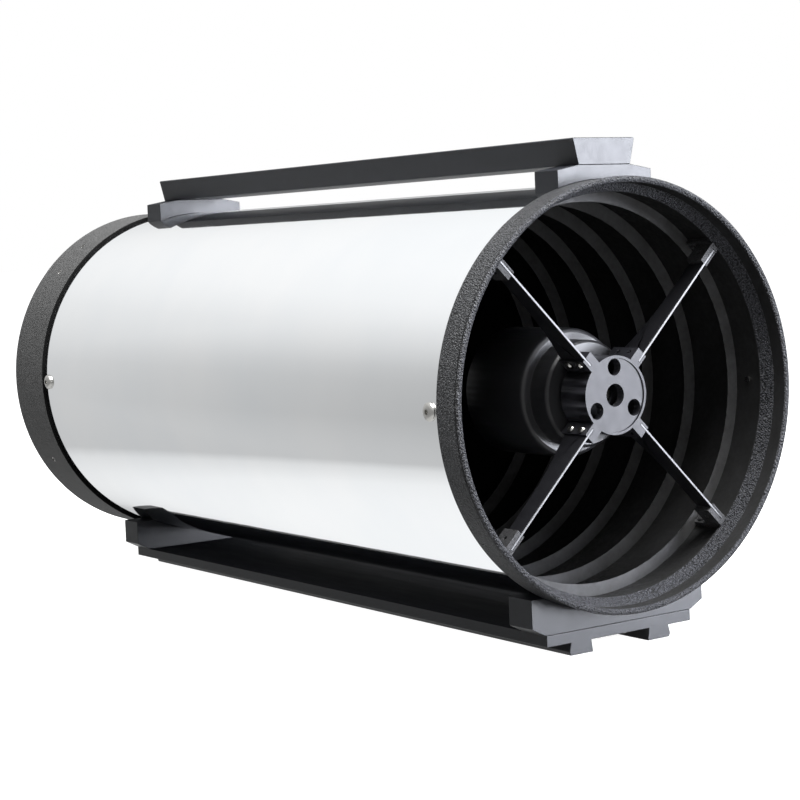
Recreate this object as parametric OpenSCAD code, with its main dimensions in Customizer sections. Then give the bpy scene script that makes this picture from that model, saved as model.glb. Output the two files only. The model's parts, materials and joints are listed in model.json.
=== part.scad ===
// Eight-inch classical Cassegrain telescope tube with a two-inch focuser.
// Millimetres. The optical axis runs along Y: the sky is at -Y, the eyepiece at +Y.
// The origin is under the middle of the tube, on the plane that its rails stand on.
// Distances along the axis named "_y" are measured backwards from the front lip.

/* [Tube] */
// Outer radius of the polished tube
tube_r = 117; // [116:0.5:118]
// Wall of the tube
tube_wall = 1.2; // [0.8:0.1:1.5]
// Outer radius of the painted end castings
ring_r = 119; // [119:0.5:122]
// Length of the front ring's outer band
ring_len = 20; // [18:1:20]
// Outer radius of the front ring's rounded lip
lip_r = 119.9; // [119:0.1:120]
// Bore of the front ring's open mouth
lip_bore_r = 116.4; // [115:0.1:116.8]
// How deep the front ring's sloping inner shoulder begins behind the lip
shoulder_y = 10; // [9:0.5:10.5]
// Clear radius of every tube baffle
clear_r = 107.2; // [104:0.1:108]
// Front edge of the rear cell
rear_cell_y = 504.6; // [504:0.1:508]
// Back face of the rear cell
back_y = 552.6; // [552:0.1:556]

/* [Tube baffles] */
// Place of the first knife-edge baffle
baffle_first_y = 38; // [38:1:42]
// Spacing of the baffles
baffle_pitch = 37.6; // [30:0.2:38]

/* [Spider] */
// Front face of the spider hub
hub_y = 15; // [14.5:0.5:16]
// Radius of the hub disc
hub_r = 22; // [22:0.5:23]
// Thickness of each vane
vane_t = 1.5; // [1:0.1:1.6]
// Radius of the circle on which the secondary collimation screws stand
hub_pcd_r = 15.6; // [15:0.1:15.6]

/* [Secondary mirror] */
// Front face of the secondary cell
cell_y = 38.6; // [38.6:0.1:40]
// Radius of the secondary mirror
secondary_r = 33; // [30:0.5:33.5]

/* [Primary mirror] */
// Radius of the primary mirror
primary_r = 101.5; // [98:0.5:102]
// Edge thickness of the primary mirror
primary_t = 25; // [22:1:26]
// Focal length of the primary mirror
primary_focal = 609; // [500:1:800]

/* [Rails] */
// Full width of the top dovetail bar at its wide upper face
top_bar_w = 44; // [43:0.5:46]
// Full width of the bottom plate
plate_w = 105.4; // [100:0.2:110]
// Height of the bottom plate's dovetail legs
leg_h = 7; // [6:0.5:8]
// Length of each saddle along the tube
saddle_len = 20; // [18:1:22]

/* [Focuser] */
// Bore that takes a two-inch eyepiece barrel
eyepiece_r = 25.45; // [25.42:0.01:25.5]
// Outer radius of the drawtube
drawtube_r = 29.5; // [29.5:0.1:30]
// Radius of the focusing shaft
shaft_r = 3; // [3:0.1:3.2]

/* [Hidden] */
$fn = 96;
tiny = 0.01;
running_gap = 0.05;
// Castings and the tube
tube_in_r = tube_r - tube_wall;
sleeve_in_r = 112.8;
front_sleeve_r = 114.6;
shoulder_r = 112;
shoulder_edge_y = shoulder_y + 6;
shoulder_back_y = shoulder_edge_y + 1.2;
tube_start_y = 12;
tube_end_y = 512;
sleeve_end_y = 38;
rear_sleeve_y = 476;
back_plate_t = 7.6;
back_plate_y = back_y - back_plate_t;
// Screws through the tube wall
front_screw_y = 28;
rear_screw_y = 498;
set_screw_y = 528.5;
set_screw_angles = [41, 54, 126, 139, 210, 330];
// Spider
vane_angles = [45, 135, 225, 315];
tab_sides = [1, -1, 1, -1];
tab_t = 4.6;
tab_end = 30.2;
finger_t = 1.25;
hub_depth = 21;
hub_wall = 1.6;
hub_face_t = 6.2;
vane_in = 24.4;
vane_out = 109;
bracket_sides = [1, 1, -1, -1];
bracket_in = 98;
bracket_end = 111.6;
bracket_cheek_t = 3;
bracket_depth = 12;
bracket_foot_t = 3;
bracket_foot_half = 4;
bracket_screw_y = 33;
outer_vane_screw = [104, 6];
inner_vane_screw_x = 27.2;
hub_screw_depths = [5.5, 14.5];
// Secondary
seat_y = 53;
shell_r = 36.8;
shell_end_y = 104;
retainer_end_y = 77.5;
secondary_y = 64;
secondary_t = 10;
secondary_sphere = 480;
collimation_angles = [90, 210, 330];
// Primary
primary_back_y = 530;
primary_front_y = primary_back_y - primary_t;
pad_t = 1.5;
cell_plate_y = primary_back_y + pad_t;
cell_plate_t = 7;
boss_r = 26.8;
boss_front_y = 500;
baffle_tube_y = 330;
primary_pcd_r = 92;
lock_offset = 9;
// Rails, as heights from the optical axis
rail_y = 18;
top_bar_z = 126.9;
top_bar_h = 14.7;
top_bar_taper = 3.5;
top_bar_len = 475.3;
plate_z = -127.3;
plate_t = 6.4;
plate_len = 481.3;
// Each saddle's outline: half widths and heights of its corners, from the tube outwards
top_saddle_outline = [[33.5, 105], [33.5, 124.3], [18.5, top_bar_z]];
bottom_saddle_outline = [[62.5, -106.4], [62.5, -122.5], [53.3, plate_z]];
top_saddle_end = 493;
bottom_saddle_end = 499;
rail_screw_y = 30;
rear_rail_screw_y = 485;
rail_screw_x = 9.5;
rail_screw_tip = 115.2;
axis_z = plate_t + leg_h - plate_z;
// Focuser
flange_t = 7.4;
body_y = back_y + flange_t;
body_len = 46;
body_end_y = body_y + body_len;
body_r = 36;
drawtube_front_y = back_y - 6;
holder_y = body_end_y + 2;
holder_len = 28;
holder_end_y = holder_y + holder_len;
drawtube_end_y = holder_y + 6;
flat_z = -28.5;
shaft_z = flat_z - shaft_r - 0.03;
shaft_y = body_y + 26;
shaft_gap = 0.15;
block_half = 34;
block_z = -47;
block_h = 34;
block_len = 32;
knob_gap = 2;
coarse_r = 18;
left_knob_h = 19;
right_knob_h = 16;
fine_r = 11;
fine_knob_h = 13;
lock_y = shaft_y - 11.5;
thumb_angles = [60, 120];
// Y of the front lip, so that the whole length is centred on the origin
front_y = -holder_end_y / 2;

// ---------- Helpers ----------

// Moves a shape drawn from the lip and the optical axis to its place in the part.
module optical() {
    translate([0, front_y, axis_z]) children();
}

// Turns a profile of [radius, distance behind the lip] about the optical axis.
module turned(profile) {
    rotate([-90, 0, 0]) rotate_extrude() polygon(profile);
}

// A disc or a rod along the optical axis.
module rod_y(r, y0, y1) {
    translate([0, y0, 0]) rotate([-90, 0, 0]) cylinder(r = r, h = y1 - y0);
}

// A plain ring about the optical axis.
module ring_y(outer, inner, y0, y1) {
    difference() {
        rod_y(outer, y0, y1);
        rod_y(inner, y0 - 1, y1 + 1);
    }
}

// A prism along the optical axis with the given outline in X and Z.
module prism_y(outline, y0, y1) {
    translate([0, y1, 0]) rotate([90, 0, 0]) linear_extrude(y1 - y0) polygon(outline);
}

// Swings local +X to an angle about the optical axis, measured from +X up to +Z.
module at_angle(a) {
    rotate([0, -a, 0]) children();
}

// Cap screw along Z: its head above z = 0, its shank below, a hexagon socket in the head.
module cap_screw(shank_r, shank_len, head_r, head_h, hex_r) {
    difference() {
        union() {
            translate([0, 0, -shank_len]) cylinder(r = shank_r, h = shank_len + tiny);
            cylinder(r = head_r, h = head_h - 0.4);
            translate([0, 0, head_h - 0.4]) cylinder(r1 = head_r, r2 = head_r - 0.4, h = 0.4);
        }
        translate([0, 0, head_h * 0.45]) cylinder(r = hex_r, h = head_h, $fn = 6);
    }
}

// Button-head screw along Z, with a domed head and a hexagon socket.
module button_screw(shank_r, shank_len, head_r, head_h, hex_r) {
    rise = head_h - 0.7;
    dome = [for (k = [0 : 6]) [head_r * cos(k * 11), 0.7 + rise * sin(k * 11) / sin(66)]];
    difference() {
        rotate_extrude() polygon(concat(
            [[0, -shank_len], [shank_r, -shank_len], [shank_r, 0], [head_r, 0]],
            dome, [[0, head_h]]));
        translate([0, 0, head_h * 0.35]) cylinder(r = hex_r, h = head_h, $fn = 6);
    }
}

// Pan-head screw along Z.
module pan_screw(shank_r, shank_len, head_r, head_h) {
    rotate_extrude() polygon([[0, -shank_len], [shank_r, -shank_len], [shank_r, 0],
        [head_r, 0], [head_r, head_h * 0.5], [head_r * 0.7, head_h], [0, head_h]]);
}

// Thumbscrew along Z: a grooved head standing off z = 0 and a shank below it.
module thumb_screw(shank_r, shank_len, head_r, head_h, grooves) {
    collar_h = 1.5;
    union() {
        translate([0, 0, -shank_len]) cylinder(r = shank_r, h = shank_len + tiny);
        cylinder(r = shank_r + 1.2, h = collar_h + tiny);
        translate([0, 0, collar_h]) difference() {
            rotate_extrude() polygon([[0, 0], [head_r - 0.5, 0], [head_r, 0.5],
                [head_r, head_h - 0.5], [head_r - 0.5, head_h], [0, head_h]]);
            for (k = [0 : grooves - 1]) rotate(k * 360 / grooves)
                translate([head_r + 0.35, 0, -1]) cylinder(r = 0.8, h = head_h + 2, $fn = 16);
        }
    }
}

// ---------- Tube and castings ----------

module front_ring() {
    half = (lip_r - lip_bore_r) / 2;
    depth = 1.4;
    groove_r = ring_r - 0.9;
    bead = [for (k = [0 : 8])
        [lip_bore_r + half + half * cos(k * 22.5), depth - depth * sin(k * 22.5)]];
    color("dimgray") optical() difference() {
        turned(concat(
            [[ring_r, ring_len], [ring_r, 4], [ring_r - 0.4, 3.5], [groove_r, 3.3],
             [groove_r, 2.4], [lip_r, 2]],
            bead,
            [[lip_bore_r, shoulder_y], [shoulder_r, shoulder_edge_y],
             [shoulder_r, shoulder_back_y], [front_sleeve_r, shoulder_back_y],
             [front_sleeve_r, sleeve_end_y], [tube_in_r, sleeve_end_y],
             [tube_in_r, tube_start_y], [tube_r, tube_start_y], [tube_r, ring_len]]));
        for (a = [0, 180]) at_angle(a) side_hole(front_screw_y);
        rail_screw_holes(rail_screw_y);
        for (a = vane_angles) at_angle(a) bracket_hole();
    }
}

// Hole for a side screw through the tube wall and a casting's sleeve, on local +X.
module side_hole(y) {
    translate([sleeve_in_r - 2, y, 0]) rotate([0, 90, 0]) cylinder(r = 2, h = 10);
}

// Four vertical holes where the rails bolt through the tube into a sleeve.
module rail_screw_holes(y) {
    for (s = [-1, 1]) translate([s * rail_screw_x, y, 0]) {
        translate([0, 0, 105]) cylinder(r = 3, h = 15);
        translate([0, 0, -120]) cylinder(r = 3, h = 15);
    }
}

// Threaded hole for a vane bracket, on local +X.
module bracket_hole() {
    translate([shoulder_r, bracket_screw_y, 0]) rotate([0, 90, 0])
        cylinder(r = 1.5, h = tube_in_r - shoulder_r - 0.2);
}

module main_tube() {
    color("gainsboro") optical() difference() {
        ring_y(tube_r, tube_in_r, tube_start_y, tube_end_y);
        for (a = [0, 180], y = [front_screw_y, rear_screw_y]) at_angle(a) side_hole(y);
        rail_screw_holes(rail_screw_y);
        rail_screw_holes(rear_rail_screw_y);
    }
}

module rear_cell() {
    color("dimgray") optical() difference() {
        turned([[ring_r - 0.6, rear_cell_y], [ring_r, rear_cell_y + 0.6], [ring_r, back_y - 1.5],
            [ring_r - 1.5, back_y], [32, back_y], [32, back_plate_y],
            [sleeve_in_r, back_plate_y], [sleeve_in_r, rear_sleeve_y],
            [tube_in_r, rear_sleeve_y], [tube_in_r, tube_end_y], [tube_r, tube_end_y],
            [tube_r, rear_cell_y]]);
        for (a = [0, 180]) at_angle(a) side_hole(rear_screw_y);
        rail_screw_holes(rear_rail_screw_y);
        for (a = set_screw_angles) at_angle(a) translate([sleeve_in_r - 1, set_screw_y, 0])
            rotate([0, 90, 0]) cylinder(r = 2, h = 8);
        for (a = collimation_angles) {
            at_angle(a) translate([primary_pcd_r, 0, 0])
                rod_y(3 + running_gap, back_plate_y - 1, back_y + 1);
            at_angle(a + lock_offset) translate([primary_pcd_r, 0, 0])
                rod_y(2.5 + running_gap, back_plate_y - 1, back_y + 1);
        }
    }
}

module tube_screws() {
    color("silver") optical() for (a = [0, 180], y = [front_screw_y, rear_screw_y])
        at_angle(a) translate([tube_r, y, 0]) rotate([0, 90, 0])
            button_screw(2, 4, 5.2, 2.6, 1.6);
}

module cell_set_screws() {
    color("darkgray") optical() for (a = set_screw_angles)
        at_angle(a) translate([sleeve_in_r + 0.2, set_screw_y, 0]) rotate([0, 90, 0])
            difference() {
                cylinder(r = 2, h = 5.8);
                translate([0, 0, 3.8]) cylinder(r = 1.2, h = 3, $fn = 6);
            }
}

// One knife-edge baffle: a thin ring sharpened towards the axis.
module tube_baffle(index) {
    y = baffle_first_y + (index - 1) * baffle_pitch;
    color("black") optical() turned([[tube_in_r, y], [tube_in_r, y + 5], [tube_in_r - 1, y + 5],
        [tube_in_r - 1, y + 1.2], [clear_r, y + 0.3], [clear_r, y]]);
}

// ---------- Spider ----------

// Slotted arm on local +X, from its closed end to its open end along X. The thick cheek is
// towards +Z when side is 1, and the slot takes a vane.
module slotted_arm(side, closed_x, slot_x, open_x, cheek_t, depth) {
    slot = vane_t / 2;
    low = side > 0 ? -slot - finger_t : -slot - cheek_t;
    high = side > 0 ? slot + cheek_t : slot + finger_t;
    prism_y([[closed_x, low], [open_x, low], [open_x, -slot], [slot_x, -slot], [slot_x, slot],
        [open_x, slot], [open_x, high], [closed_x, high]], hub_y, hub_y + depth);
}

module spider_hub() {
    cavity_r = hub_r - hub_wall;
    color("darkgray") optical() difference() {
        union() {
            rod_y(hub_r, hub_y, hub_y + hub_depth);
            for (k = [0 : 3]) at_angle(vane_angles[k])
                slotted_arm(tab_sides[k], hub_r - 1.2, vane_in, tab_end, tab_t, hub_depth);
        }
        rod_y(cavity_r + 0.2, hub_y - 1, hub_y + 0.8);
        rod_y(cavity_r, hub_y + hub_face_t, hub_y + hub_depth + 1);
        rod_y(6.4, hub_y - 1, hub_y + hub_face_t + 1);
        for (a = collimation_angles) at_angle(a) translate([hub_pcd_r, 0, 0])
            rod_y(4.7, hub_y - 1, hub_y + hub_face_t + 1);
        for (k = [0 : 3], d = hub_screw_depths) at_angle(vane_angles[k])
            translate([inner_vane_screw_x, hub_y + d, -6]) cylinder(r = 1.25, h = 12);
    }
}

module hub_back_plate() {
    y0 = hub_y + hub_depth - 6;
    color("gray") optical() difference() {
        rod_y(hub_r - hub_wall, y0, hub_y + hub_depth);
        rod_y(3, y0 - 1, hub_y + hub_depth + 1);
        for (a = collimation_angles) at_angle(a) translate([hub_pcd_r, 0, 0])
            rod_y(2.5 + running_gap, y0 - 1, hub_y + hub_depth + 1);
    }
}

// A vane is deepest at the hub and curves to a constant depth at the tube.
module spider_vane(index) {
    deep = 19.5;
    shallow = 12.5;
    curve_end = 76;
    rear_edge = [for (k = [0 : 8]) let (u = k / 8)
        [curve_end + (tab_end + 2 - curve_end) * u, hub_y + shallow + (deep - shallow) * u * u]];
    color("dimgray") optical() at_angle(vane_angles[index - 1]) difference() {
        translate([0, 0, -vane_t / 2]) linear_extrude(vane_t) polygon(concat(
            [[vane_in, hub_y], [vane_out, hub_y], [vane_out, hub_y + bracket_depth]],
            rear_edge, [[vane_in, hub_y + deep]]));
        for (d = hub_screw_depths)
            translate([inner_vane_screw_x, hub_y + d, -2]) cylinder(r = 1.25, h = 4);
        translate([outer_vane_screw.x, hub_y + outer_vane_screw.y, -2])
            cylinder(r = 1.25, h = 4);
    }
}

// Small screws that clamp the vanes in the hub's slots and in the tube brackets.
module vane_screws() {
    color("silver") optical() for (k = [0 : 3]) at_angle(vane_angles[k]) {
        for (d = hub_screw_depths) vane_screw(tab_sides[k], [inner_vane_screw_x, d], 2.5, 1.7);
        vane_screw(bracket_sides[k], outer_vane_screw, 1.9, 1.1);
    }
}

// One clamping screw on the thin cheek of a slotted arm, at spot = [radius, depth].
module vane_screw(side, spot, head_r, head_h) {
    translate([spot.x, hub_y + spot.y, -side * (vane_t / 2 + finger_t)])
        rotate([side > 0 ? 180 : 0, 0, 0]) pan_screw(1.25, 4.6, head_r, head_h);
}

// Slotted brackets that hold the outer ends of the vanes, each on a foot against the sleeve.
module vane_brackets() {
    foot_x = front_sleeve_r - bracket_foot_t;
    color("dimgray") optical() for (k = [0 : 3]) at_angle(vane_angles[k]) difference() {
        intersection() {
            union() {
                slotted_arm(bracket_sides[k], bracket_end, vane_out, bracket_in,
                    bracket_cheek_t, bracket_depth);
                prism_y([[foot_x - 0.6, -bracket_foot_half], [ring_r, -bracket_foot_half],
                    [ring_r, bracket_foot_half], [foot_x - 0.6, bracket_foot_half]],
                    shoulder_back_y + 1, sleeve_end_y - 1);
            }
            rod_y(front_sleeve_r, hub_y - 1, sleeve_end_y);
        }
        translate([outer_vane_screw.x, hub_y + outer_vane_screw.y, -6])
            cylinder(r = 1.25, h = 12);
        translate([100, bracket_screw_y, 0]) rotate([0, 90, 0]) cylinder(r = 1.5, h = 20);
    }
}

// Low-headed screws from the brackets' feet into the sleeve.
module bracket_screws() {
    seat_x = front_sleeve_r - bracket_foot_t - 0.6;
    color("dimgray") optical() for (a = vane_angles) at_angle(a)
        translate([seat_x, bracket_screw_y, 0]) rotate([0, -90, 0])
            button_screw(1.5, tube_in_r - seat_x - 0.4, 2.6, 1.5, 0.9);
}

// ---------- Secondary mirror ----------

module secondary_cell() {
    body_r = 30.3;
    edge = 2.6;
    color("dimgray") optical() turned([[3, cell_y], [body_r - 1.6, cell_y],
        [body_r, cell_y + 1.6], [body_r, seat_y], [shell_r - edge, seat_y],
        [shell_r - 0.8, seat_y + edge * 0.3], [shell_r, seat_y + edge], [shell_r, shell_end_y],
        [secondary_r + 0.1, shell_end_y], [secondary_r + 0.1, secondary_y],
        [secondary_r - 4, secondary_y], [secondary_r - 4, seat_y + 3],
        [26, seat_y + 3], [26, cell_y + 8], [3, cell_y + 8]]);
}

module secondary_mirror() {
    back = secondary_y + secondary_t - 1.5;
    face = [for (k = [0 : 8]) let (r = secondary_r * k / 8)
        [r, back + (secondary_r * secondary_r - r * r) / (2 * secondary_sphere)]];
    color("lightcyan") optical() turned(concat([[0, secondary_y]], face,
        [[secondary_r, secondary_y]]));
}

module secondary_retainer() {
    y0 = secondary_y + secondary_t - 1.5;
    color("black") optical()
        ring_y(secondary_r + 0.1, secondary_r - 1.5, y0 + 0.2, retainer_end_y);
}

module secondary_centre_bolt() {
    head_y = hub_y + hub_depth - 6;
    color("silver") optical() translate([0, head_y, 0]) rotate([90, 0, 0])
        cap_screw(3, cell_y + 8 - head_y + 3, 5, 5, 2.5);
}

module secondary_screw(index) {
    head_y = hub_y + hub_depth - 6.5;
    color("silver") optical() at_angle(collimation_angles[index - 1])
        translate([hub_pcd_r, head_y, 0]) rotate([90, 0, 0])
            cap_screw(2.5, cell_y - 0.05 - head_y, 4.2, 4.5, 2);
}

// ---------- Primary mirror ----------

module primary_mirror() {
    hole_r = boss_r + 0.4;
    face = [for (k = [0 : 10]) let (r = hole_r + (primary_r - hole_r) * k / 10)
        [r, primary_front_y + (primary_r * primary_r - r * r) / (4 * primary_focal)]];
    color("lightcyan") optical() turned(concat(face,
        [[primary_r, primary_back_y], [hole_r, primary_back_y]]));
}

module primary_cell() {
    color("gray") optical() difference() {
        turned([[22, boss_front_y], [boss_r, boss_front_y], [boss_r, cell_plate_y],
            [108, cell_plate_y], [108, cell_plate_y + cell_plate_t],
            [22, cell_plate_y + cell_plate_t]]);
        for (a = collimation_angles) {
            at_angle(a) translate([primary_pcd_r, 0, 0])
                rod_y(3 + running_gap, cell_plate_y - 1, cell_plate_y + cell_plate_t + 1);
            at_angle(a + 60) translate([70, 0, 0])
                rod_y(16, cell_plate_y - 1, cell_plate_y + cell_plate_t + 1);
        }
    }
}

// Cork pads between the mirror's back and its cell.
module mirror_pads() {
    color("peru") optical() for (a = collimation_angles, d = [-22, 22])
        at_angle(a + d) translate([68, 0, 0]) rod_y(9, primary_back_y, cell_plate_y);
}

module primary_retainer() {
    top = primary_front_y + (primary_r * primary_r - 34 * 34) / (4 * primary_focal);
    color("black") optical() turned([[boss_r, top - 4], [32, top - 4], [34, top - 2],
        [34, top - 0.2], [boss_r, top - 0.2]]);
}

module primary_baffle_tube() {
    color("black") optical() turned([[23.8, baffle_tube_y], [25, baffle_tube_y],
        [25, boss_front_y - 4], [boss_r, boss_front_y - 4], [boss_r, boss_front_y],
        [22, boss_front_y], [22, boss_front_y + 18], [20.5, boss_front_y + 18],
        [20.5, boss_front_y - 2], [23.8, boss_front_y - 6]]);
}

// Rubber bushes that the collimation screws pull against.
module collimation_bushes() {
    color("black") optical() for (a = collimation_angles)
        at_angle(a) translate([primary_pcd_r, 0, 0])
            ring_y(8, 3.4, cell_plate_y + cell_plate_t, back_plate_y);
}

module primary_screw(index) {
    color("silver") optical() at_angle(collimation_angles[index - 1])
        translate([primary_pcd_r, back_y + 0.3, 0]) rotate([-90, 0, 0])
            cap_screw(3, back_y + 0.3 - cell_plate_y, 5.5, 6, 2.5);
}

module lock_screw(index) {
    color("silver") optical() at_angle(collimation_angles[index - 1] + lock_offset)
        translate([primary_pcd_r, back_y + 0.3, 0]) rotate([-90, 0, 0])
            cap_screw(2.5, back_y + 0.2 - cell_plate_y - cell_plate_t, 4.2, 4, 2);
}

// ---------- Rails ----------

module top_dovetail_bar() {
    wide = top_bar_w / 2;
    narrow = wide - top_bar_taper;
    color("darkslategray") optical() difference() {
        translate([0, 0, top_bar_z]) prism_y([[-narrow, 0], [narrow, 0],
            [wide, top_bar_h - 0.6], [wide - 0.6, top_bar_h], [0.6 - wide, top_bar_h],
            [-wide, top_bar_h - 0.6]], rail_y, rail_y + top_bar_len);
        for (y = [rail_screw_y, rear_rail_screw_y], s = [-1, 1])
            translate([s * rail_screw_x, y, 0]) {
                cylinder(r = 3, h = 200);
                translate([0, 0, top_bar_z + 7]) cylinder(r = 5.5, h = 20);
            }
    }
}

// Saddle between the tube and a rail, from one half of its outline. It clears the tube, the
// front ring's band and the rail's screws.
module saddle(outline, y0) {
    corners = len(outline);
    mirrored = [for (k = [corners - 1 : -1 : 0]) [-outline[k].x, outline[k].y]];
    low = outline[0].y > 0 ? outline[0].y - 5 : outline[corners - 1].y - 5;
    difference() {
        prism_y(concat(outline, mirrored), y0, y0 + saddle_len);
        rod_y(tube_r, y0 - 1, y0 + saddle_len + 1);
        rod_y(ring_r + running_gap, rail_y - 1, ring_len + running_gap);
        for (y = [rail_screw_y, rear_rail_screw_y], s = [-1, 1])
            translate([s * rail_screw_x, y, low]) cylinder(r = 3, h = 40);
    }
}

module top_saddle_front() {
    color("dimgray") optical() saddle(top_saddle_outline, rail_y);
}

module top_saddle_rear() {
    color("dimgray") optical() saddle(top_saddle_outline, top_saddle_end - saddle_len);
}

// Cap screws from the top bar through the saddles and the tube into the end sleeves.
module top_bar_screws() {
    seat = top_bar_z + 7;
    color("silver") optical() for (y = [rail_screw_y, rear_rail_screw_y], s = [-1, 1])
        translate([s * rail_screw_x, y, seat]) cap_screw(3, seat - rail_screw_tip, 5, 6, 2.5);
}

// A flat plate with two dovetail legs, which the telescope also stands on.
module bottom_dovetail_plate() {
    half = plate_w / 2;
    foot_z = plate_z - plate_t - leg_h;
    neck_z = plate_z - plate_t;
    flare_z = foot_z + 2.2;
    outline = [[half, plate_z], [half, neck_z], [35.8, neck_z], [37, flare_z], [36.2, foot_z],
        [20.2, foot_z], [21.1, neck_z]];
    mirrored = [for (k = [len(outline) - 1 : -1 : 0]) [-outline[k][0], outline[k][1]]];
    color("darkslategray") optical() difference() {
        prism_y(concat(outline, mirrored), rail_y, rail_y + plate_len);
        for (y = [rail_screw_y, rear_rail_screw_y], s = [-1, 1])
            translate([s * rail_screw_x, y, foot_z - 1]) {
                cylinder(r = 3, h = 30);
                cylinder(r = 5.5, h = leg_h + 1 + 4);
            }
    }
}

module bottom_saddle_front() {
    color("dimgray") optical() saddle(bottom_saddle_outline, rail_y);
}

module bottom_saddle_rear() {
    color("dimgray") optical() saddle(bottom_saddle_outline, bottom_saddle_end - saddle_len);
}

module bottom_plate_screws() {
    seat = plate_z - plate_t + 4;
    color("silver") optical() for (y = [rail_screw_y, rear_rail_screw_y], s = [-1, 1])
        translate([s * rail_screw_x, y, seat]) rotate([180, 0, 0])
            cap_screw(3, -rail_screw_tip - seat, 5, 6, 2.5);
}

// ---------- Focuser ----------

module focuser_flange() {
    color("dimgray") optical() difference() {
        turned([[30.5, back_y - 5.5], [31.9, back_y - 5.5], [31.9, back_y], [46, back_y],
            [47, back_y + 1], [47, body_y - 1], [46, body_y], [30.5, body_y]]);
        for (a = [0 : 15 : 345]) at_angle(a) translate([47.6, 0, 0])
            rod_y(1.4, back_y - 1, body_y + 1);
    }
}

// Bearing tube of the focuser, with a block below it for the focusing shaft.
module focuser_body() {
    color("dimgray") optical() difference() {
        union() {
            turned([[0, body_y], [41, body_y], [41, body_y + 5], [body_r, body_y + 10],
                [body_r, body_end_y - 2], [body_r - 2, body_end_y], [0, body_end_y]]);
            translate([-block_half, shaft_y - block_len / 2, block_z])
                cube([2 * block_half, block_len, block_h]);
        }
        rod_y(drawtube_r + running_gap, body_y - 1, body_end_y + 1);
        // Bore of the focusing shaft, and the window where it meets the drawtube
        translate([-block_half - 1, shaft_y, shaft_z]) rotate([0, 90, 0])
            cylinder(r = shaft_r + shaft_gap, h = 2 * block_half + 2);
        translate([-8, shaft_y - 4.5, shaft_z - 4.5]) cube([16, 9, 10]);
        // Threads of the tension screw and of the lock screw
        translate([0, shaft_y, block_z - 1]) cylinder(r = 2.5 + running_gap, h = 12);
        translate([0, lock_y, block_z - 1]) cylinder(r = 2 + running_gap, h = 24);
    }
}

module focuser_drawtube() {
    color("silver") optical() difference() {
        ring_y(drawtube_r, 26.5, drawtube_front_y, drawtube_end_y);
        // Flat along which the focusing shaft rolls
        translate([-10, drawtube_front_y - 1, flat_z - 5])
            cube([20, body_end_y - drawtube_front_y + 1, 5]);
    }
}

module focus_shaft() {
    left_end = block_half + knob_gap + left_knob_h - 1;
    right_end = block_half + knob_gap + right_knob_h + fine_knob_h;
    color("silver") optical() translate([-left_end, shaft_y, shaft_z]) rotate([0, 90, 0])
        cylinder(r = shaft_r, h = left_end + right_end);
}

// Grooved knob turning about local Z, standing on z = 0, with a bore through it.
module grooved_knob(r, h, bore, grooves) {
    difference() {
        rotate_extrude() polygon([[bore, 0], [r * 0.6, 0], [r - 1, 3], [r, 4], [r, h - 1],
            [r - 1, h], [r * 0.75, h], [r * 0.72, h - 1], [bore, h - 1]]);
        for (k = [0 : grooves - 1]) rotate(k * 360 / grooves)
            translate([r + 0.6, 0, 4.5]) cylinder(r = 1.2, h = h, $fn = 16);
    }
}

module coarse_knob_left() {
    color("dimgray") optical() translate([-block_half - knob_gap, shaft_y, shaft_z])
        rotate([0, -90, 0]) grooved_knob(coarse_r, left_knob_h, shaft_r, 24);
}

module coarse_knob_right() {
    color("dimgray") optical() translate([block_half + knob_gap, shaft_y, shaft_z])
        rotate([0, 90, 0]) grooved_knob(coarse_r, right_knob_h, shaft_r, 24);
}

module fine_knob() {
    color("goldenrod") optical()
        translate([block_half + knob_gap + right_knob_h + 0.5, shaft_y, shaft_z])
            rotate([0, 90, 0]) grooved_knob(fine_r, fine_knob_h, shaft_r + running_gap, 18);
}

module eyepiece_holder() {
    groove_y = holder_end_y - 13;
    color("dimgray") optical() difference() {
        turned([[drawtube_r, holder_y], [32.5, holder_y], [33.5, holder_y + 1],
            [33.5, holder_end_y - 1.5], [32, holder_end_y], [eyepiece_r + 1, holder_end_y],
            [eyepiece_r, holder_end_y - 1], [eyepiece_r, groove_y + 6],
            [eyepiece_r + 1.8, groove_y + 6], [eyepiece_r + 1.8, groove_y],
            [eyepiece_r, groove_y], [eyepiece_r, drawtube_end_y], [drawtube_r, drawtube_end_y]]);
        for (a = thumb_angles) at_angle(a) translate([eyepiece_r + 1, groove_y + 3, 0])
            rotate([0, 90, 0]) cylinder(r = 2 + running_gap, h = 12);
    }
}

// Split brass ring that grips the eyepiece barrel.
module compression_ring() {
    y0 = holder_end_y - 12.8;
    color("goldenrod") optical() difference() {
        ring_y(eyepiece_r + 1.7, eyepiece_r + 0.6, y0, y0 + 5.6);
        translate([-2, y0 - 1, -40]) cube([4, 8, 30]);
    }
}

module eyepiece_screw(index) {
    color("silver") optical() at_angle(thumb_angles[index - 1])
        translate([34, holder_end_y - 10, 0]) rotate([0, 90, 0])
            thumb_screw(2, 34 - eyepiece_r - 1.9, 5, 8, 12);
}

module focus_tension_screw() {
    color("silver") optical() translate([0, shaft_y, block_z - 0.5]) rotate([180, 0, 0])
        thumb_screw(2.5, 11.5, 6, 8, 14);
}

module focus_lock_screw() {
    color("silver") optical() translate([0, lock_y, block_z - 0.5]) rotate([180, 0, 0])
        thumb_screw(2, flat_z - 0.3 - block_z + 0.5, 4, 8, 10);
}

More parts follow.
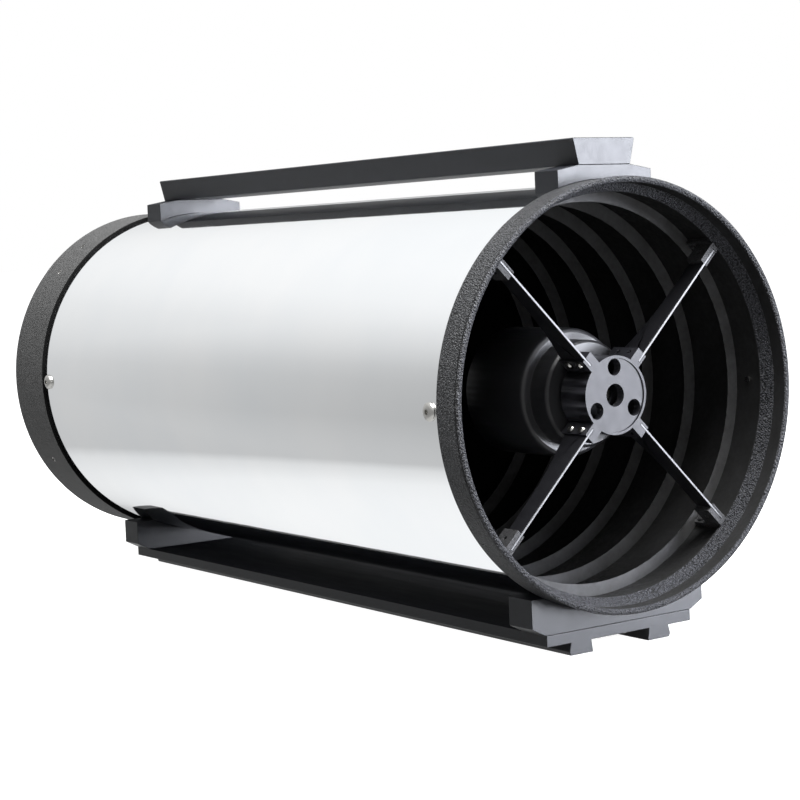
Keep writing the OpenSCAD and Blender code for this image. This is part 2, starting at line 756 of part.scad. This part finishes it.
front_ring();
main_tube();
rear_cell();
tube_screws();
cell_set_screws();
tube_baffle(1);  // baffle_1
tube_baffle(2);  // baffle_2
tube_baffle(3);  // baffle_3
tube_baffle(4);  // baffle_4
tube_baffle(5);  // baffle_5
tube_baffle(6);  // baffle_6
spider_hub();
hub_back_plate();
spider_vane(1);  // spider_vane_1
spider_vane(2);  // spider_vane_2
spider_vane(3);  // spider_vane_3
spider_vane(4);  // spider_vane_4
vane_screws();
vane_brackets();
bracket_screws();
secondary_cell();
secondary_mirror();
secondary_retainer();
secondary_centre_bolt();
secondary_screw(1);  // secondary_screw_1
secondary_screw(2);  // secondary_screw_2
secondary_screw(3);  // secondary_screw_3
primary_mirror();
primary_cell();
mirror_pads();
primary_retainer();
primary_baffle_tube();
collimation_bushes();
primary_screw(1);  // primary_screw_1
primary_screw(2);  // primary_screw_2
primary_screw(3);  // primary_screw_3
lock_screw(1);  // lock_screw_1
lock_screw(2);  // lock_screw_2
lock_screw(3);  // lock_screw_3
top_dovetail_bar();
top_saddle_front();
top_saddle_rear();
top_bar_screws();
bottom_dovetail_plate();
bottom_saddle_front();
bottom_saddle_rear();
bottom_plate_screws();
focuser_flange();
focuser_body();
focuser_drawtube();
focus_shaft();
coarse_knob_left();
coarse_knob_right();
fine_knob();
eyepiece_holder();
compression_ring();
eyepiece_screw(1);  // eyepiece_screw_1
eyepiece_screw(2);  // eyepiece_screw_2
focus_tension_screw();
focus_lock_screw();
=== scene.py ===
"""Looks of the Cassegrain telescope tube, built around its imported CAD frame."""

import json
import math

import bmesh
import bpy
from mathutils import Matrix, Vector


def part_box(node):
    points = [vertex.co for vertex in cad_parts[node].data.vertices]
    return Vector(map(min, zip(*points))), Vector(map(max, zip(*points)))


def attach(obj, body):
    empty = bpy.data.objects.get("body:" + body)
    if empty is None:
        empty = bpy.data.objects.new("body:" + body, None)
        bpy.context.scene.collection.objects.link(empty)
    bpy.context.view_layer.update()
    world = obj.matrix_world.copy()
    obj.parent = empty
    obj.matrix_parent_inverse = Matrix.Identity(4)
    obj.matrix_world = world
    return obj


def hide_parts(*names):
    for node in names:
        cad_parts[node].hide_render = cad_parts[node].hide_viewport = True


MM = 0.001
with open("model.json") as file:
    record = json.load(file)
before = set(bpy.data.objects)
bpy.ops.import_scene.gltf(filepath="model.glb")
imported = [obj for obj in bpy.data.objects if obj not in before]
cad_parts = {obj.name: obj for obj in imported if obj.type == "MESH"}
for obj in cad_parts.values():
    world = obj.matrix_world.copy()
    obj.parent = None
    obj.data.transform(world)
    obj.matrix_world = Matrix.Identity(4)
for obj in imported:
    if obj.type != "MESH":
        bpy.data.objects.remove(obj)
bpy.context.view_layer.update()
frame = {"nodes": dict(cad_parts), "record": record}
nodes = frame["nodes"]

# ---------- Places, read from the frame ----------

ring_low, ring_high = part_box("front_ring")
FRONT_Y = ring_low.y
AXIS_Z = (ring_low.z + ring_high.z) / 2
TUBE_R = (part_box("main_tube")[1].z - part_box("main_tube")[0].z) / 2

# ---------- Edges and camera ----------

# Creases of the turned pieces stay sharp above this angle
CREASE = math.radians(35)
# CAD edges above this angle are rounded, by less on small bright parts than on others
BEVEL_ANGLE = math.radians(32)
BEVEL_SEGMENTS = 2
FINE_EDGE = 0.2 * MM
EDGE = 0.35 * MM
WELD = 0.002 * MM
# Camera: its place from the middle of the lip, in metres, and its aim in degrees
CAMERA_OFFSET = Vector((-0.7153, -0.8123, 0.0890))
CAMERA_YAW, CAMERA_PITCH, CAMERA_ROLL = 34.59, -4.55, -2.45
CAMERA_LENS = 89
CAMERA_SENSOR = 36


# ---------- Node helpers for materials ----------


def new_material(name):
    """An empty material with a Principled shader; returns it, its tree and the shader."""
    material = bpy.data.materials.new(name)
    material.use_nodes = True
    tree = material.node_tree
    return material, tree, tree.nodes["Principled BSDF"]


def add(tree, kind, **settings):
    """A new node of that kind, with its properties or unlinked inputs set by name."""
    node = tree.nodes.new(kind)
    for key, value in settings.items():
        if hasattr(node, key):
            setattr(node, key, value)
        else:
            node.inputs[key.replace("_", " ")].default_value = value
    return node


def object_coords(tree, scale=(1, 1, 1)):
    """Object coordinates, stretched: every CAD piece sits at the origin, so they are in metres."""
    coords = add(tree, "ShaderNodeTexCoord")
    mapping = add(tree, "ShaderNodeMapping")
    mapping.inputs["Scale"].default_value = scale
    tree.links.new(coords.outputs["Object"], mapping.inputs["Vector"])
    return mapping.outputs["Vector"]


def noise(tree, vector, scale, detail=4, roughness=0.55, distortion=0.0):
    node = add(tree, "ShaderNodeTexNoise", Scale=scale, Detail=detail, Roughness=roughness,
               Distortion=distortion)
    tree.links.new(vector, node.inputs["Vector"])
    return node.outputs["Fac"]


def ramp(tree, value, low, high, out_low=0.0, out_high=1.0):
    """Maps value from low..high to out_low..out_high, clamped."""
    node = add(tree, "ShaderNodeMapRange")
    for socket, number in (("From Min", low), ("From Max", high), ("To Min", out_low),
                           ("To Max", out_high)):
        node.inputs[socket].default_value = number
    tree.links.new(value, node.inputs["Value"])
    return node.outputs["Result"]


def blend_colour(tree, factor, first, second):
    """Mixes two colours, each a tuple or a socket. The Mix node's colour sockets are 6, 7 and 2."""
    node = add(tree, "ShaderNodeMix", data_type="RGBA")
    for socket, colour in ((6, first), (7, second)):
        if isinstance(colour, tuple):
            node.inputs[socket].default_value = (*colour, 1)
        else:
            tree.links.new(colour, node.inputs[socket])
    tree.links.new(factor, node.inputs[0])
    return node.outputs[2]


def math_node(tree, operation, first, second=0):
    """A Math node on two values, each a number or a socket."""
    node = add(tree, "ShaderNodeMath", operation=operation)
    for socket, value in enumerate((first, second)):
        if isinstance(value, (int, float)):
            node.inputs[socket].default_value = value
        else:
            tree.links.new(value, node.inputs[socket])
    return node.outputs[0]


def bump(tree, shader, height, distance, strength=1.0):
    """Lets height, over this distance in metres, tilt the shader's normals."""
    node = add(tree, "ShaderNodeBump", Strength=strength, Distance=distance)
    tree.links.new(height, node.inputs["Height"])
    tree.links.new(node.outputs["Normal"], shader.inputs["Normal"])


# ---------- Materials ----------


def polished_steel():
    """Mirror-polished tube: very slight haze, faint rolling lines and cleaning marks."""
    material, tree, shader = new_material("polished_steel")
    shader.inputs["Metallic"].default_value = 1.0
    place = object_coords(tree)
    cloud = noise(tree, place, 9.0, detail=3)
    tint = blend_colour(tree, ramp(tree, cloud, 0.35, 0.65), (0.90, 0.915, 0.93),
                        (0.94, 0.945, 0.95))
    tree.links.new(tint, shader.inputs["Base Color"])
    streaks = noise(tree, object_coords(tree, (900, 12, 900)), 1.0, detail=3)
    wipes = noise(tree, object_coords(tree, (30, 70, 30)), 1.0, detail=5, distortion=0.4)
    haze = math_node(tree, "ADD", ramp(tree, wipes, 0.4, 0.75, 0.0, 0.035),
                     ramp(tree, streaks, 0.3, 0.7, 0.025, 0.045))
    tree.links.new(haze, shader.inputs["Roughness"])
    roll = noise(tree, object_coords(tree, (5, 14, 5)), 1.0, detail=2)
    bump(tree, shader, roll, 0.0012, strength=0.12)
    return material


def crinkle_paint(name, colour, grain, depth, rough, specular):
    """Wrinkle-finish paint: rounded worms of paint, with a painted highlight lightening their
    crests and painted shade darkening the hollows between them.
    """
    material, tree, shader = new_material(name)
    shader.inputs["Specular IOR Level"].default_value = specular
    place = object_coords(tree)
    worms = add(tree, "ShaderNodeTexVoronoi", feature="SMOOTH_F1", Scale=grain, Smoothness=0.6,
                Randomness=1.0)
    warp = add(tree, "ShaderNodeTexNoise", Scale=grain * 0.7, Detail=3)
    tree.links.new(place, warp.inputs["Vector"])
    shift = add(tree, "ShaderNodeVectorMath", operation="MULTIPLY_ADD")
    tree.links.new(warp.outputs["Color"], shift.inputs[0])
    shift.inputs[1].default_value = (1.3 / grain,) * 3
    tree.links.new(place, shift.inputs[2])
    tree.links.new(shift.outputs["Vector"], worms.inputs["Vector"])
    fine = noise(tree, place, grain * 3.1, detail=3)
    height = math_node(tree, "SUBTRACT", math_node(tree, "MULTIPLY", fine, 0.35),
                       worms.outputs["Distance"])
    # Painted light: the base colour is lightened on the crests of the worms as a painted highlight
    # and darkened in the hollows between them as painted shade
    hollow_painted_shade = ramp(tree, worms.outputs["Distance"], 0.25, 0.75)
    light = tuple(c * 1.5 for c in colour)
    dark = tuple(c * 0.2 for c in colour)
    tree.links.new(blend_colour(tree, hollow_painted_shade, light, dark), shader.inputs["Base Color"])
    tree.links.new(ramp(tree, fine, 0.3, 0.7, rough - 0.06, rough + 0.12),
                   shader.inputs["Roughness"])
    bump(tree, shader, height, depth)
    return material


def satin_anodised(name, colour, rough, specular=0.5, metallic=0.0):
    """Bead-blasted and anodised aluminium: fine pitted grain, cloudy tone, faint handling marks."""
    material, tree, shader = new_material(name)
    shader.inputs["Metallic"].default_value = metallic
    shader.inputs["Specular IOR Level"].default_value = specular
    place = object_coords(tree)
    cloud = noise(tree, place, 160.0, detail=5)
    wear = 0.12
    light = tuple(min(1.0, c * (1 + wear)) for c in colour)
    dark = tuple(c * (1 - wear) for c in colour)
    tree.links.new(blend_colour(tree, ramp(tree, cloud, 0.3, 0.7), dark, light),
                   shader.inputs["Base Color"])
    marks = noise(tree, object_coords(tree, (60, 9, 60)), 3.0, detail=6)
    tree.links.new(ramp(tree, marks, 0.3, 0.72, rough - 0.03, rough + 0.05),
                   shader.inputs["Roughness"])
    bump(tree, shader, noise(tree, place, 2600.0, detail=2), 0.00006, strength=0.6)
    return material


def bright_metal(name, colour, rough, lines=(1, 1, 1)):
    """Machined metal: fine tool lines along one direction and slight tarnish."""
    material, tree, shader = new_material(name)
    shader.inputs["Metallic"].default_value = 1.0
    tarnish = noise(tree, object_coords(tree), 220.0, detail=4)
    dull = tuple(c * 0.8 for c in colour)
    tree.links.new(blend_colour(tree, ramp(tree, tarnish, 0.35, 0.75), colour, dull),
                   shader.inputs["Base Color"])
    tool = noise(tree, object_coords(tree, lines), 2500.0, detail=2)
    tree.links.new(ramp(tree, tool, 0.25, 0.75, rough - 0.06, rough + 0.08),
                   shader.inputs["Roughness"])
    bump(tree, shader, tool, 0.00001, strength=0.1)
    return material


def dead_black(name, level, grain=1800.0, specular=0.3):
    """Flat black interior paint with a dusty, faintly uneven surface."""
    material, tree, shader = new_material(name)
    shader.inputs["Specular IOR Level"].default_value = specular
    place = object_coords(tree)
    dust = noise(tree, place, 60.0, detail=8, roughness=0.7)
    tree.links.new(blend_colour(tree, ramp(tree, dust, 0.4, 0.8), (level,) * 3,
                                (level * 1.9, level * 1.9, level * 2.0)),
                   shader.inputs["Base Color"])
    tree.links.new(ramp(tree, noise(tree, place, 300.0), 0.3, 0.7, 0.6, 0.85),
                   shader.inputs["Roughness"])
    bump(tree, shader, noise(tree, place, grain, detail=3), 0.0001, strength=0.7)
    return material


def mirror_coating():
    """First-surface mirror: almost perfect, with faint dust."""
    material, tree, shader = new_material("mirror_coating")
    shader.inputs["Metallic"].default_value = 1.0
    shader.inputs["Base Color"].default_value = (0.93, 0.94, 0.95, 1)
    dust = noise(tree, object_coords(tree), 700.0, detail=6, roughness=0.8)
    tree.links.new(ramp(tree, dust, 0.55, 0.8, 0.01, 0.12), shader.inputs["Roughness"])
    bump(tree, shader, dust, 0.00002, strength=0.05)
    return material


def cork():
    """Cork: pale cells with darker edges."""
    material, tree, shader = new_material("cork")
    cells = add(tree, "ShaderNodeTexVoronoi", Scale=900.0)
    tree.links.new(object_coords(tree), cells.inputs["Vector"])
    tree.links.new(blend_colour(tree, ramp(tree, cells.outputs["Distance"], 0.1, 0.7),
                                (0.52, 0.33, 0.17), (0.24, 0.13, 0.06)),
                   shader.inputs["Base Color"])
    tree.links.new(ramp(tree, cells.outputs["Distance"], 0.1, 0.7, 0.85, 0.95),
                   shader.inputs["Roughness"])
    bump(tree, shader, cells.outputs["Distance"], 0.0003)
    return material


MATERIALS = {
    "crinkle_black": crinkle_paint("crinkle_black", (0.015, 0.0155, 0.017), grain=1000.0,
                                   depth=0.0016, rough=0.36, specular=0.17),
    # A lighter, shinier copy of the ring's crinkle paint for the lip bead and shoulder: painted
    # highlight
    "crinkle_lip_painted_highlight": crinkle_paint("crinkle_lip_painted_highlight", (0.018, 0.0185, 0.021), grain=1000.0,
                                 depth=0.0015, rough=0.36, specular=0.18),
    "cell_black": crinkle_paint("cell_black", (0.03, 0.03, 0.03), grain=1400.0,
                                depth=0.0006, rough=0.5, specular=0.2),
    "bracket_black": crinkle_paint("bracket_black", (0.02, 0.02, 0.021), grain=1600.0,
                                   depth=0.0002, rough=0.55, specular=0.2),
    "polished_steel": polished_steel(),
    "stainless": bright_metal("stainless", (0.5, 0.49, 0.47), rough=0.2),
    "brass": bright_metal("brass", (0.78, 0.56, 0.22), rough=0.25),
    "drawtube_silver": bright_metal("drawtube_silver", (0.62, 0.62, 0.64), rough=0.28,
                                    lines=(0.02, 1, 0.02)),
    # A near-black copy for the rear cell's front step: painted shadow
    "painted_shadow_black": dead_black("painted_shadow_black", 0.002, specular=0.02),
    "baffle_black": dead_black("baffle_black", 0.021, specular=0.32),
    "wall_black": dead_black("wall_black", 0.005, specular=0.12),
    "rubber_black": dead_black("rubber_black", 0.02, grain=1200.0),
    "hub_black": satin_anodised("hub_black", (0.010, 0.010, 0.012), rough=0.36, specular=0.135),
    "vane_black": satin_anodised("vane_black", (0.005, 0.005, 0.006), rough=0.34, specular=0.36),
    "satin_black": satin_anodised("satin_black", (0.010, 0.010, 0.011), rough=0.36,
                                  specular=0.32),
    "rail_anodised": satin_anodised("rail_anodised", (0.007, 0.0075, 0.009), rough=0.34,
                                    specular=0.22),
    # A darker, duller copy of the rail anodising for the rails' upward faces: painted shade
    "rail_top_painted_shade": satin_anodised("rail_top_painted_shade", (0.006, 0.0065, 0.008), rough=0.6, specular=0.03),
    "focuser_black": satin_anodised("focuser_black", (0.014, 0.014, 0.016), rough=0.32,
                                    specular=0.45),
    "fine_knob_gold": satin_anodised("fine_knob_gold", (0.75, 0.45, 0.11), rough=0.27,
                                     metallic=1.0),
    "mirror_glass": mirror_coating(),
    "cork": cork(),
}


# ---------- Mesh helpers ----------


def paint(obj, *names):
    """Puts these materials on a mesh and keeps which face has which of them."""
    indices = [0] * len(obj.data.polygons)
    obj.data.polygons.foreach_get("material_index", indices)
    obj.data.materials.clear()
    for name in names:
        obj.data.materials.append(MATERIALS[name])
    last = len(names) - 1
    obj.data.polygons.foreach_set("material_index", [min(i, last) for i in indices])


def repaint(obj, name, chosen):
    """Gives a second material to the faces of a CAD mesh that chosen(polygon) picks."""
    obj.data.materials.append(MATERIALS[name])
    last = len(obj.data.materials) - 1
    for polygon in obj.data.polygons:
        if chosen(polygon):
            polygon.material_index = last


def soften(obj, width):
    """Welds a CAD mesh and rounds its sharp edges a little."""
    weld = obj.modifiers.new("weld", "WELD")
    weld.merge_threshold = WELD
    bevel = obj.modifiers.new("bevel", "BEVEL")
    bevel.width = width
    bevel.segments = BEVEL_SEGMENTS
    bevel.limit_method = "ANGLE"
    bevel.angle_limit = BEVEL_ANGLE
    bevel.harden_normals = True


def lathe(name, profile, slots, turns):
    """Turns a closed profile of (radius, distance behind the lip) about the optical axis.

    slots gives the material index of the profile edge that starts at each point.
    """
    mesh = bpy.data.meshes.new(name)
    count = len(profile)
    points, faces, indices = [], [], []
    for k in range(turns):
        angle = 2 * math.pi * k / turns
        for radius, y in profile:
            x, z = radius * math.cos(angle), radius * math.sin(angle)
            points.append((x, FRONT_Y + y, AXIS_Z + z))
    for k in range(turns):
        here, there = k * count, (k + 1) % turns * count
        for i in range(count):
            j = (i + 1) % count
            faces.append((here + i, there + i, there + j, here + j))
            indices.append(slots[i])
    mesh.from_pydata(points, [], faces)
    mesh.polygons.foreach_set("material_index", indices)
    obj = bpy.data.objects.new(name, mesh)
    bpy.context.scene.collection.objects.link(obj)
    cleaned = bmesh.new()
    cleaned.from_mesh(mesh)
    bmesh.ops.recalc_face_normals(cleaned, faces=cleaned.faces)
    for edge in cleaned.edges:
        if len(edge.link_faces) == 2 and edge.calc_face_angle() > CREASE:
            edge.smooth = False
    cleaned.to_mesh(mesh)
    cleaned.free()
    for polygon in mesh.polygons:
        polygon.use_smooth = True
    return obj


# ---------- Pieces that replace CAD nodes ----------


def tube_piece():
    """The tube: polished outside and dead black inside, in bands along its length."""
    low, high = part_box("main_tube")
    start, end = low.y - FRONT_Y, high.y - FRONT_Y
    wall = 1.2 * MM
    first_band = 8 * MM
    bands = 40
    inner = TUBE_R - wall
    profile = [(TUBE_R, start), (TUBE_R, start + first_band)]
    for k in range(1, bands):
        profile.append((TUBE_R, start + (end - start) * k / bands))
    profile += [(TUBE_R, end), (inner, end), (inner, start)]
    polished, plain = 0, 1
    slots = [polished] * (len(profile) - 3) + [plain] * 3
    tube = lathe("tube_skin", profile, slots, turns=512)
    paint(tube, "polished_steel", "wall_black")
    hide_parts("main_tube")
    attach(tube, "root")


def front_ring_piece():
    """The cast front ring: rolled lip, fine groove, band, sloping shoulder and inner sleeve."""
    # Slot 2, named rough here, is the lighter copy of the crinkle paint on the bead and shoulder:
    # painted highlight
    painted, plain, rough = 0, 1, 2
    lip_out, lip_in, lip_depth = 119.9, 116.4, 1.4
    middle, half = (lip_out + lip_in) / 2, (lip_out - lip_in) / 2
    steps = 14
    turns = [math.pi * k / steps for k in range(steps)]
    # Each stretch of the outline, in millimetres as (radius, distance behind the lip)
    stretches = [
        (painted, [(117.0, 20.0), (118.6, 20.0), (119.0, 19.6), (119.0, 11.0), (119.0, 4.3)]),
        # The fine groove is given dead black: painted shade in the groove
        (plain, [(118.8, 3.8), (117.6, 3.6), (117.6, 2.5), (119.5, 2.35)]),
        (rough, [(middle + half * math.cos(t), lip_depth * (1 - math.sin(t))) for t in turns]),
        (plain, [(lip_in, lip_depth), (lip_in, 5.0)]),
        (rough, [(lip_in, 9.6), (116.2, 10.2), (114.1, 13.1), (112.15, 15.8)]),
        (plain, [(112.0, 16.2), (112.0, 17.2), (114.6, 17.2), (114.6, 28.0), (114.6, 38.0),
                 (115.8, 38.0), (115.8, 12.0)]),
        (painted, [(117.0, 12.0)]),
    ]
    profile = [(r * MM, y * MM) for _, points in stretches for r, y in points]
    slots = [slot for slot, points in stretches for _ in points]
    ring = lathe("front_ring_skin", profile, slots, turns=360)
    paint(ring, "crinkle_black", "wall_black", "crinkle_lip_painted_highlight")
    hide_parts("front_ring")
    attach(ring, "root")


def shade_cell_edge(cell):
    """Paints the shadow of the tube onto the rear cell's narrow front step, as a near-black copy on
    its forward faces.
    """
    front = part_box("rear_cell")[0].y
    tube_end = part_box("main_tube")[1].y
    step_r = TUBE_R - 0.5 * MM
    repaint(cell, "painted_shadow_black", lambda face: face.normal.y < -0.5
            and front <= face.center.y < tube_end
            and math.hypot(face.center.x, face.center.z - AXIS_Z) > step_r)


def dress_cad_nodes(record):
    """Gives every CAD node its material, and softens the edges of those that still show.

    The rear cell keeps its own normals, because a bevel streaks the faces round its holes.
    """
    slot_of = {row["node"]: row["material_slot"] for row in record["subparts"]}
    small_bright = {"stainless", "brass", "fine_knob_gold"}
    for name, obj in nodes.items():
        slot = slot_of[name]
        paint(obj, slot)
        # The upward faces of the rails get the darker, duller copy of the anodising: painted shade
        if slot == "rail_anodised":
            repaint(obj, "rail_top_painted_shade", lambda face: face.normal.z > 0.9)
        if name == "rear_cell":
            shade_cell_edge(obj)
        elif not obj.hide_render:
            soften(obj, FINE_EDGE if slot in small_bright else EDGE)


# ---------- Stage, light and camera ----------


def floor():
    """A pale paper floor, which the camera alone sees as fully lit."""
    mesh = bpy.data.meshes.new("floor")
    half = 30.0
    dark, light = (0.25,) * 3, (0.3,) * 3
    mesh.from_pydata([(-half, -half, 0), (half, -half, 0), (half, half, 0), (-half, half, 0)], [],
                     [(0, 1, 2, 3)])
    obj = bpy.data.objects.new("floor", mesh)
    bpy.context.scene.collection.objects.link(obj)
    material, tree, shader = new_material("floor_paper")
    fibre = noise(tree, object_coords(tree), 3.0)
    tree.links.new(blend_colour(tree, fibre, dark, light), shader.inputs["Base Color"])
    shader.inputs["Roughness"].default_value = 0.9
    shader.inputs["Specular IOR Level"].default_value = 0.0
    shader.inputs["Emission Color"].default_value = (1, 1, 1, 1)
    rays = add(tree, "ShaderNodeLightPath")
    tree.links.new(rays.outputs["Is Camera Ray"], shader.inputs["Emission Strength"])
    obj.data.materials.append(material)
    obj.visible_glossy = False


def studio_world():
    """A studio with a soft grey band round the horizon, which the polished tube mirrors.

    The camera itself sees plain white.
    """
    world = bpy.data.worlds.new("studio")
    bpy.context.scene.world = world
    world.use_nodes = True
    tree = world.node_tree
    tree.nodes.clear()
    coords = add(tree, "ShaderNodeTexCoord")
    split = add(tree, "ShaderNodeSeparateXYZ")
    tree.links.new(coords.outputs["Generated"], split.inputs[0])
    # Height on the sphere, from -1 to 1, read through a ramp of stops at given elevations
    height = ramp(tree, split.outputs["Z"], -1.0, 1.0)
    stops = [(-90, 0.97), (-32, 0.87), (-28, 0.83), (-24, 0.69), (-22, 0.52), (-8, 0.55),
             (4, 0.61), (12, 0.69), (20, 0.77), (28, 0.88), (35, 0.93), (90, 0.97)]
    band = add(tree, "ShaderNodeValToRGB")
    band.color_ramp.interpolation = "LINEAR"
    while len(band.color_ramp.elements) < len(stops):
        band.color_ramp.elements.new(0.5)
    cool = (0.985, 0.995, 1.0)
    for element, (elevation, level) in zip(band.color_ramp.elements, stops):
        element.position = (math.sin(math.radians(elevation)) + 1) / 2
        element.color = (*(level * part for part in cool), 1)
    tree.links.new(height, band.inputs["Fac"])
    # The band is lighter towards the ends of the tube and darker abeam of it
    full, loss = 1.12, 0.28
    abeam = ramp(tree, math_node(tree, "ABSOLUTE", split.outputs["X"]), 0.40, 0.60)
    away = ramp(tree, math_node(tree, "ABSOLUTE", split.outputs["Z"]), 0.15, 0.45)
    shade = math_node(tree, "MULTIPLY", abeam, math_node(tree, "SUBTRACT", 1.0, away))
    dim = math_node(tree, "SUBTRACT", full, math_node(tree, "MULTIPLY", shade, loss))
    seen = add(tree, "ShaderNodeBackground")
    tree.links.new(band.outputs["Color"], seen.inputs["Color"])
    tree.links.new(dim, seen.inputs["Strength"])
    plain = add(tree, "ShaderNodeBackground")
    plain.inputs["Color"].default_value = (1, 1, 1, 1)
    rays = add(tree, "ShaderNodeLightPath")
    mix = add(tree, "ShaderNodeMixShader")
    tree.links.new(rays.outputs["Is Camera Ray"], mix.inputs[0])
    tree.links.new(seen.outputs[0], mix.inputs[1])
    tree.links.new(plain.outputs[0], mix.inputs[2])
    out = add(tree, "ShaderNodeOutputWorld")
    tree.links.new(mix.outputs[0], out.inputs["Surface"])


def softbox(name, azimuth, elevation, distance, size, power, colour=(1, 1, 1)):
    """An area light aimed at the middle of the lip from a direction, azimuth 0 being at -Y."""
    light = bpy.data.lights.new(name, "AREA")
    light.shape = "RECTANGLE"
    light.size, light.size_y = size
    light.energy = power
    light.color = colour
    obj = bpy.data.objects.new(name, light)
    bpy.context.scene.collection.objects.link(obj)
    a, e = math.radians(azimuth), math.radians(elevation)
    direction = Vector((math.sin(a) * math.cos(e), -math.cos(a) * math.cos(e), math.sin(e)))
    target = Vector((0, FRONT_Y, AXIS_Z))
    obj.location = target + direction * distance
    obj.rotation_euler = direction.to_track_quat("Z", "Y").to_euler()


def camera():
    """A long lens in front of the sky end and to its left, a little above the axis."""
    data = bpy.data.cameras.new("camera")
    data.sensor_width = CAMERA_SENSOR
    data.lens = CAMERA_LENS
    data.clip_start, data.clip_end = 0.05, 100
    obj = bpy.data.objects.new("camera", data)
    bpy.context.scene.collection.objects.link(obj)
    yaw, pitch, roll = (math.radians(a) for a in (CAMERA_YAW, CAMERA_PITCH, CAMERA_ROLL))
    forward = Vector((math.sin(yaw) * math.cos(pitch), math.cos(yaw) * math.cos(pitch),
                      math.sin(pitch)))
    level = Vector((math.cos(yaw), -math.sin(yaw), 0))
    up = level.cross(forward)
    across = level * math.cos(roll) + up * math.sin(roll)
    rise = up * math.cos(roll) - level * math.sin(roll)
    place = Vector((0, FRONT_Y, AXIS_Z)) + CAMERA_OFFSET
    obj.matrix_world = Matrix((
        (across.x, rise.x, -forward.x, place.x),
        (across.y, rise.y, -forward.y, place.y),
        (across.z, rise.z, -forward.z, place.z),
        (0, 0, 0, 1)))
    bpy.context.scene.camera = obj


# ---------- Build ----------

bpy.context.scene.view_settings.view_transform = "Standard"
camera()
studio_world()
floor()
# The key stands low on the right, where the faces that look forward mirror it to the camera
softbox("key_right", azimuth=40, elevation=7, distance=1.35, size=(0.8, 1.05), power=116,
        colour=(0.88, 0.91, 1.0))
softbox("overhead", azimuth=-10, elevation=80, distance=1.6, size=(1.6, 1.2), power=225)
tube_piece()
front_ring_piece()
dress_cad_nodes(frame["record"])
